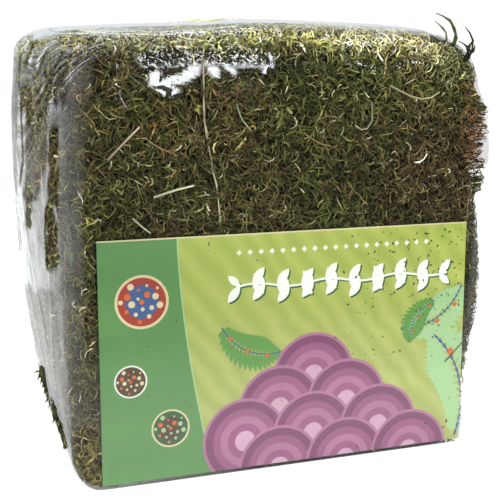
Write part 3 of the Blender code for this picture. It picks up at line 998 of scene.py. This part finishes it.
for px, py, size in (
    (425, 423, 1.0), (446, 421, 0.8), (443, 427, 0.7), (414, 444, 0.9), (393, 388, 0.6), (357, 446, 0.7),
    (393, 243, 0.9), (405, 262, 0.8), (437, 246, 0.9), (452, 262, 1.0),
):
    crumb(*on_card(px, py), size, 1.3, rng.uniform(0, 3.1))
for _ in range(CRUMBS_AT_RIGHT):
    u, v = rng.triangular(150, 250, 252), rng.triangular(60, 152, 153)
    crumb(u, v, rng.uniform(0.25, 0.7), rng.uniform(1, 2.2), rng.uniform(0, 3.1))
for _ in range(CRUMBS_ELSEWHERE):
    u, v = rng.uniform(3, 251), rng.uniform(3, 152)
    crumb(u, v, rng.uniform(0.2, 0.5), rng.uniform(1, 2), rng.uniform(0, 3.1))
# A row of dark flakes that paints the shade of the crease
crease_shade_from, crease_shade_to = np.array(on_card(445, 361)), np.array(on_card(462, 342))
run = crease_shade_to - crease_shade_from
for i in range(CREASE_SHADE_FLAKES):
    crumb(*(crease_shade_from + i / (CREASE_SHADE_FLAKES - 1) * run), 0.55, 1.9, math.atan2(run[1], run[0]))
face_front(crumbs_mesh)

# Leaf dust: dark dry flakes, matt, every one a little different. The same flakes, in a row, are the crease's
# painted shade.
crumb_dust_and_crease_shade, tree, shader, place = new_material("leaf crumbs", {"Roughness": 0.9, "Specular IOR Level": 0.2})
shades = add_node(tree, "TexNoise", {"Vector": place, "Scale": 170.0, "Detail": 1.0})
crumb_tones = add_node(tree, "ValToRGB", {0: shades})
crumb_tones.color_ramp.elements[0].color = linear("#26301a")
crumb_tones.color_ramp.elements[1].color = linear("#6f7040")
tree.links.new(crumb_tones.outputs[0], shader.inputs["Base Color"])
crumbs_and_crease_shade = finished("crumbs_and_crease_shade", crumbs_mesh, [crumb_dust_and_crease_shade], smooth=False)
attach(crumbs_and_crease_shade, "root")

# The film sleeve
# Clear polyolefin film, shrunk on with heat. It is drawn tight over the moss and the card, takes the print of
# the shoots under it, hangs slack down the left side, and gathers in a fan of wrinkles at the top left
# corner and in pleats towards its two mouths.

film = merged_copy("film_sleeve")
middle = sum((Vector(c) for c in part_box("film_sleeve")), Vector()) / 2
inner = [f for f in film.faces if (f.calc_center_median() - middle).dot(f.normal) < 0]
bmesh.ops.delete(film, geom=inner, context="FACES")
bmesh.ops.join_triangles(film, faces=film.faces[:], angle_face_threshold=0.7, angle_shape_threshold=0.9)
film.normal_update()

film_sleeve = finished("film", film, [])
rounder = film_sleeve.modifiers.new("rounder", "SUBSURF")
rounder.levels = rounder.render_levels = 3
smoothed = bpy.data.meshes.new_from_object(film_sleeve.evaluated_get(bpy.context.evaluated_depsgraph_get()))
film_sleeve.modifiers.clear()
film_sleeve.data = smoothed


def field(points, scale, offset):
    """Smooth noise over the points, from -1 to 1, with one scale or one along each axis."""
    return np.array([noise.noise(Vector(p)) for p in points * np.array(scale) + np.array(offset)])


spots = np.empty(3 * len(smoothed.vertices))
smoothed.vertices.foreach_get("co", spots)
spots = spots.reshape(-1, 3)
facing = np.array([vert.normal[:] for vert in smoothed.vertices])
x, y, z = spots.T
to_left, to_top, to_front = -facing[:, 0], facing[:, 2], -facing[:, 1]

# Over the card and underneath, the film is flat
over_card = soft_step(0.3, 0.8, to_front) * soft_step(0.010, 0.002, z - card_high.z)
over_card *= soft_step(-0.006, 0.0, x - card_low.x) * soft_step(0.006, 0.0, x - card_high.x)
loose = (1 - over_card) * soft_step(-0.5, -0.1, to_top)

# The print of the shoots, 3 to 7 mm from crest to crest, weaker on top and on the slack left side
embossed = 0.00024 * field(spots, 150, (1.3, 5.1, 0.2)) + 0.00012 * field(spots, 340, (0.3, 2.2, 8.2))
slack_side = 0.85 * soft_step(0.5, 0.9, to_left) * soft_step(-0.125, -0.09, y)
embossed *= 1 - slack_side - 0.85 * soft_step(0.5, 0.9, to_top)
embossed *= 1 + 0.8 * soft_step(0.2, 0.7, np.maximum(-to_left, -to_front))

# Broad soft hollows, where the film spans from one clump to the next
broad = 0.00035 * field(spots, 48, (7.7, 0.3, 2.9)) * (1 - 0.6 * soft_step(0.5, 0.9, to_top))

# The slack left side: long soft swells, parted by a few sharp upright creases
swells = field(spots, (14, 26, 7), (3.1, 0.0, 4.4))
creases = (1 - np.abs(field(spots, (18, 22, 5), (0.7, 3.0, 1.4)))) ** 14
slack = soft_step(0.45, 0.9, to_left) * (0.0007 * swells + 0.0005 * creases)

# The fan of wrinkles that runs back and down from the top front left corner
FAN_CENTRE = np.array([-0.120, -0.132, 0.286])
away = spots - FAN_CENTRE
reach = np.linalg.norm(away, axis=1)
turned = np.arctan2(-away[:, 2], away[:, 1] + 0.4 * np.abs(away[:, 0]) + 0.004) + 2.5 * reach
fan_share = soft_step(0.004, 0.03, reach) * soft_step(0.17, 0.07, reach)
fan_share *= soft_step(0.0, 0.45, to_left + 0.12 * to_top)
fan_share *= soft_step(1.25, 0.95, turned)
fan_turn = turned * 60 + 2.0 * field(spots, 25, (6.0, 1.0, 2.0))
fan = 0.00035 * fan_share * np.sin(fan_turn)

# Long tight streaks along the top edges, and pleats across the top that deepen towards the mouth
streaks = 0.00014 * field(spots, (10, 130, 130), (2.0, 0.4, 0.9)) * soft_step(0.2, 0.6, to_top)
to_mouth = soft_step(0.090, 0.060, np.hypot(x / 1.1, y))
pleats = np.sin(np.arctan2(y, x) * 38 + 3 * field(spots, 16, (0.1, 0.8, 3.0)))
pleats *= (0.0002 + 0.0008 * to_mouth) * soft_step(0.9, 1.0, to_top)

# Weaker fans of wrinkles at the other corners: (1 right or -1 left, 1 back or -1 front, height)
OTHER_CORNERS = (1, -1, 0.288), (1, 1, 0.288), (-1, 1, 0.288), (1, -1, 0), (1, 1, 0), (-1, 1, 0)
CORNER_X, CORNER_Y = 0.135, 0.118
for corner_x, corner_y, corner_z in OTHER_CORNERS:
    away = spots - (CORNER_X * corner_x, CORNER_Y * corner_y, corner_z)
    reach = np.linalg.norm(away, axis=1)
    angle = np.arctan2(np.abs(away[:, 2]), np.hypot(away[:, 0], away[:, 1]) + 0.004)
    share = soft_step(0.004, 0.03, reach) * soft_step(0.15, 0.04, reach)
    share *= 1 - 0.8 * soft_step(0.3, 0.8, to_front)
    fan += 0.0004 * share * np.sin(angle * 46 + 3 * field(spots, 22, (corner_x, 1.0, corner_y)))

lift = loose * (embossed + broad + slack + fan + streaks + pleats)
smoothed.vertices.foreach_set("co", (spots + facing * lift[:, None]).ravel())
smoothed.update()

# The strength of the film's reflection is painted, as a gloss map: high where the film is slack and smooth,
# low where it clings to the shoots, and raised or lowered in zones that paint its reflections and dark
# places.
# Each zone: (pixels along its middle, half its width in pixels, gloss), the later ones over the earlier.
GLOSS_ZONES = [
    (((30, 62), (44, 84)), 24, 0.55),
    (((36, 112), (36, 165)), 11, 0.34), (((34, 165), (31, 195)), 8, 0.34), (((29, 190), (28, 226)), 3, 0.10),
    (((27, 90), (27, 106)), 6, 0.10), (((28, 104), (30, 124)), 3, 0.08),
    (((54, 128), (52, 165)), 5, 0.05), (((53, 165), (53, 205)), 6, 0.07), (((52, 205), (52, 264)), 6, 0.06),
    (((15, 80), (14, 130), (13, 200), (17, 250)), 4, 0.60), (((26, 290), (32, 330), (38, 354)), 7, 0.62),
    (((18, 79), (21, 95), (22, 130), (23, 160), (20, 185)), 1, 0.08),
    (((46, 206), (45, 235), (47, 268)), 1.2, 0.0), (((48, 165), (46, 180), (45, 206)), 1.1, 2.2),
    (((54, 205), (57, 220)), 1.2, 2.2),
    (((52, 90), (50, 113)), 1.4, 2.2), (((53, 105), (54, 120)), 1.1, 2.2),
    # Where the sheet goes down to the floor its gloss fades
    (((44, 300), (50, 360), (60, 430)), 12, 0.72), (((84, 440), (90, 480)), 14, 0.5),
    # The fan's ridges, then its grooves: painted reflection, bright along the ridges and little in the
    # grooves
    (((92, 38), (78, 43), (66, 50), (57, 60), (52, 72)), 1.2, 2.4),
    (((47, 48), (40, 56), (37, 68)), 1.2, 2.4), (((64, 50), (60, 62), (56, 73), (54, 82)), 1.1, 2.2),
    (((40, 36), (30, 40), (24, 50)), 1.2, 2.0), (((34, 47), (31, 56), (29, 66)), 1.0, 1.8),
    (((46, 74), (43, 84), (42, 94)), 1.2, 1.8), (((69, 58), (66, 70), (60, 80)), 1.1, 2.0),
    (((63, 52), (58, 62), (51, 76), (48, 92)), 1.4, 0.05), (((71, 55), (67, 68), (62, 77)), 1.2, 0.05),
    (((47, 50), (41, 64), (37, 76)), 1.3, 0.05), (((35, 44), (28, 56), (25, 66)), 1.6, 0.05),
    (((26, 33), (21, 38), (17, 44)), 1.2, 0.1), (((24, 47), (20, 60), (19, 78)), 1.2, 0.15),
    (((33, 72), (36, 84), (38, 96)), 1.2, 0.15), (((45, 70), (46, 79)), 1.3, 0.0),
    (((55, 97), (56, 105)), 1.2, 0.05), (((66, 92), (62, 106)), 1.1, 0.2),
    (((72, 31), (84, 32)), 0.9, 0.1), (((89, 36), (92, 40)), 0.9, 0.1),
    (((100, 28), (160, 27), (250, 24), (330, 24)), 0.5, 0.5), (((110, 33), (180, 30), (260, 27)), 0.5, 0.5),
    # Round the brown lump the film is tight
    (((474, 92), (484, 130), (484, 178)), 13, 0.06),
    # Over the upper front it clings to the shoots, and its gloss is painted up in a few places only, to show
    # the
    # window there: painted highlights
    (((138, 84), (200, 84), (300, 80), (440, 86)), 36, 0.03), (((150, 130), (330, 128)), 26, 0.06),
    (((148, 58), (205, 55), (264, 57)), 11, 1.5), (((109, 56), (114, 76), (120, 98)), 5, 0.9),
    (((156, 77), (158, 86), (166, 89), (172, 91)), 6.5, 2.4),
    (((160, 88), (172, 80), (185, 77), (196, 70)), 5, 2.4),
    (((211, 68), (216, 73)), 4, 2.4), (((225, 65), (233, 71)), 3, 2.4), (((260, 61), (267, 68)), 5, 2.4),
    (((357, 62), (367, 66), (379, 70), (392, 72)), 1.4, 2.4),
    (((400, 68), (406, 62), (417, 63), (424, 61)), 1.5, 2.4),
    (((431, 58), (438, 62), (442, 69)), 1.5, 2.2), (((345, 60), (352, 66)), 1.4, 1.8),
]


def pixel_of(points):
    """Where points fall in the photo."""
    to_camera = np.array(camera.matrix_world.inverted())
    local = points @ to_camera[:3, :3].T + to_camera[:3, 3]
    return PHOTO_PIXELS / 2 + FOCAL_PIXELS * local[:, :2] * (1, -1) / -local[:, 2:3]


def from_path(pixels, path):
    """How far pixels are from a path."""
    nearest = np.full(len(pixels), 1e9)
    for start, end in zip(path[:-1], path[1:]):
        run = np.subtract(end, start)
        share = np.clip((pixels - start) @ run / (run @ run), 0, 1)
        nearest = np.minimum(nearest, np.linalg.norm(pixels - start - share[:, None] * run, axis=1))
    return nearest


# The gloss map: higher on the slack left side and lower on the right, back and front. It is raised along the
# top near its front and left edges and down the front's left corner: painted reflection and haze there.
gloss = 1.0 - 0.72 * soft_step(0.1, 0.8, -to_left) + 0.35 * soft_step(0.5, 0.9, to_left)
near_edge = np.maximum(soft_step(-0.02, -0.07, y), soft_step(-0.09, -0.13, x))
gloss += (0.2 + 2.6 * near_edge) * soft_step(0.72, 0.93, to_top) - 0.35 * soft_step(0.3, 0.8, -to_front)
at_corner = soft_step(0.05, 0.55, to_left) * soft_step(0.97, 0.80, to_left) * soft_step(0.1, 0.4, to_front)
at_corner *= 0.2 + 0.8 * soft_step(0.10, 0.16, z)
gloss += at_corner * (1.9 + 2.0 * field(spots, (60, 60, 22), (2.2, 0.1, 4.1)))
gloss -= 0.65 * soft_step(0.75, 0.95, to_front) * soft_step(-0.002, 0.006, z - card_high.z)
gloss *= 1 - 0.2 * soft_step(0.13, 0.06, z) * soft_step(0.5, 0.9, to_left)
gloss *= 1 + 0.35 * field(spots, (12, 90, 90), (5.0, 0.4, 1.9))
photo_pixels = pixel_of(spots)
seen = np.sum(facing * (np.array(camera.location) - spots), axis=1) > 0
ragged = 2.6 * field(spots, 260, (0.9, 6.0, 2.0))
for zone_path, half_width, zone_gloss in GLOSS_ZONES:
    away = from_path(photo_pixels, zone_path) + ragged * (half_width > 2.5)
    soft_edge = max(1, 0.4 * (half_width - 12))
    share = seen * soft_step(half_width + soft_edge, half_width - soft_edge, away)
    gloss += share * (zone_gloss - gloss)

# Short tight crinkles lie along the top of the front, where the film is drawn over the edge
CRINKLE_ZONES = (
    (((352, 62), (396, 68), (440, 66)), 9), (((148, 57), (205, 54), (264, 56)), 10),
    (((109, 56), (120, 98)), 6),
)
at_top_edge = 0.88 * soft_step(0.268, 0.277, z) * soft_step(0.25, 0.5, to_front)
crinkled_share = 0.12 + at_top_edge * soft_step(0.95, 0.7, to_top)
for crinkle_path, half_width in CRINKLE_ZONES:
    share = seen * soft_step(half_width + 2, half_width - 2, from_path(photo_pixels, crinkle_path))
    crinkled_share += 0.8 * share
film_values = {
    "gloss": gloss, "fan_turn": fan_turn, "fan_share": fan_share, "crinkles": crinkled_share * loose,
}
for name, values in film_values.items():
    smoothed.attributes.new(name, "FLOAT", "POINT").data.foreach_set("value", values)

# Shrunk polyolefin: see-through, with a sharp reflection that grows edge-on by its index of 1.5, and that is
# stronger where the film is slack. Its strength is painted: the gloss map, the fan's folds and the strokes
# below scale it.
clear_film, tree, shader, place = new_material("clear shrunk film")
tree.nodes.remove(shader)
gloss_here, fan_at, fan_here, crinkles = (
    add_node(tree, "Attribute", attribute_name=name).outputs["Fac"] for name in film_values
)
crinkle = add_node(tree, "TexNoise", {"Vector": place, "Scale": 240.0, "Detail": 1.0})
crinkled = add_node(tree, "Bump", {"Height": crinkle, "Strength": crinkles, "Distance": 0.0006})
folds = add_node(tree, "TexNoise", {"W": fan_at, "Scale": 0.30, "Detail": 2.0}, noise_dimensions="1D")
fold_height = add_node(
    tree, "MapRange", {"Value": folds, "From Min": 0.3, "From Max": 0.7, "To Min": -1.0, "To Max": 1.0}
)
fan_folds = add_node(tree, "Math", {0: fold_height, 1: fan_here}, operation="MULTIPLY")
folded = add_node(tree, "Bump", {"Height": fan_folds, "Distance": 0.0010, "Normal": crinkled})
edge_on = add_node(tree, "Fresnel", {"IOR": 1.5, "Normal": folded})
fold_gloss = add_node(tree, "Math", {0: fan_folds, 1: 0.9, 2: 1.0}, operation="MULTIPLY_ADD")
# Where it is crinkled over single shoots it shines in thin short strokes only, about 1 mm by 4 mm: a noise
# mask paints the reflection into these strokes
creasing = add_node(tree, "TexNoise", {"Vector": place, "Scale": 280.0, "Detail": 1.0})
from_crease = add_node(tree, "Math", {0: creasing, 1: 0.5}, operation="SUBTRACT")
off_crease = add_node(tree, "Math", {0: from_crease}, operation="ABSOLUTE")
strokes = add_node(
    tree, "MapRange", {"Value": off_crease, "From Min": 0.055, "From Max": 0.02, "To Max": 1.5}
)
stroke_gloss = add_node(tree, "Mix", {0: crinkles, 2: 1.0, 3: strokes}, data_type="FLOAT")
folded_gloss = add_node(tree, "Math", {0: gloss_here, 1: fold_gloss}, operation="MULTIPLY")
shine = add_node(tree, "Math", {0: folded_gloss, 1: stroke_gloss}, operation="MULTIPLY")
mirrored = add_node(tree, "Math", {0: edge_on, 1: shine}, operation="MULTIPLY", use_clamp=True)
see_through = add_node(tree, "BsdfTransparent", {"Color": (0.97, 0.98, 0.97, 1)})
reflection = add_node(
    tree, "BsdfGlossy", {"Color": (0.95, 0.975, 1, 1), "Roughness": 0.05, "Normal": folded}
)
both = add_node(tree, "MixShader", {0: mirrored, 1: see_through, 2: reflection})
tree.links.new(both.outputs[0], tree.nodes["Material Output"].inputs["Surface"])
film_sleeve.data.materials.clear()
film_sleeve.data.materials.append(clear_film)
film_sleeve.data.shade_smooth()
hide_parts("film_sleeve")
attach(film_sleeve, "root")

# The lap seam
# Where the film's two edges are welded into a sleeve: an upright ridge, 1.4 mm wide, that wanders down the
# front to the card. It shines on its right, and a dark line along its left is painted shadow of the ridge.

# Pixels along the seam in the photo, from the top down
SEAM_LINE = (
    (202.8, 45.3), (203.5, 104), (204.2, 121), (207, 139.3), (211.2, 160.3), (212.6, 171.6), (216.1, 184),
    (218.2, 202.5), (219.9, 222),
)
SEAM_WIDTH, SEAM_RISE, SEAM_LIFT = 0.0014, 0.0005, 0.00003
SEAM_CELLS, SEAM_ACROSS = 70, 4

film_tree = BVHTree.FromPolygons(
    [vert.co[:] for vert in smoothed.vertices], [polygon.vertices[:] for polygon in smoothed.polygons]
)
seam = bmesh.new()
bmesh.ops.create_grid(seam, x_segments=SEAM_ACROSS, y_segments=SEAM_CELLS, size=0.5)
seam_pixels = np.array(SEAM_LINE)
seam_rows = np.linspace(seam_pixels[0, 1], seam_pixels[-1, 1], SEAM_CELLS + 1)
for vert in seam.verts:
    side = vert.co.x
    py = seam_rows[round((0.5 - vert.co.y) * SEAM_CELLS)]
    px = np.interp(py, seam_pixels[:, 1], seam_pixels[:, 0])
    place, outward, _, _ = film_tree.ray_cast(camera.location, sight(px, py))
    across = Vector((1, 0, 0)) - outward * outward.x
    width = SEAM_WIDTH * (1 + 0.3 * noise.noise(place * 130))
    vert.co = place + across * side * width + outward * (SEAM_RISE * (1 - 4 * side * side) + SEAM_LIFT)
face_front(seam)


def weld_material(name, colour, roughness, thin, thick):
    """Welded film: milky where it is thick, and clear again every few millimetres where the weld is thin.
    Made dark, it is the painted shadow along the seam's left.
    """
    material, tree, shader, place = new_material(name, {"Base Color": linear(colour), "Roughness": roughness})
    beads = add_node(tree, "TexNoise", {"Vector": place, "Scale": 120.0, "Detail": 1.0})
    cover = add_node(
        tree, "MapRange",
        {"Value": beads, "From Min": 0.35, "From Max": 0.65, "To Min": thin, "To Max": thick},
    )
    tree.links.new(cover.outputs[0], shader.inputs["Alpha"])
    return material


film_seam = finished("film_seam", seam, [
    weld_material("film weld", "#b9b795", 0.4, 0.0, 0.75),
    weld_material("painted seam shadow", "#23251a", 0.9, 0.3, 0.8),
])
# The seam's left column gets the dark painted shadow
for polygon in film_seam.data.polygons:
    polygon.material_index = 1 if polygon.index % SEAM_ACROSS == 0 else 0
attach(film_seam, "root")
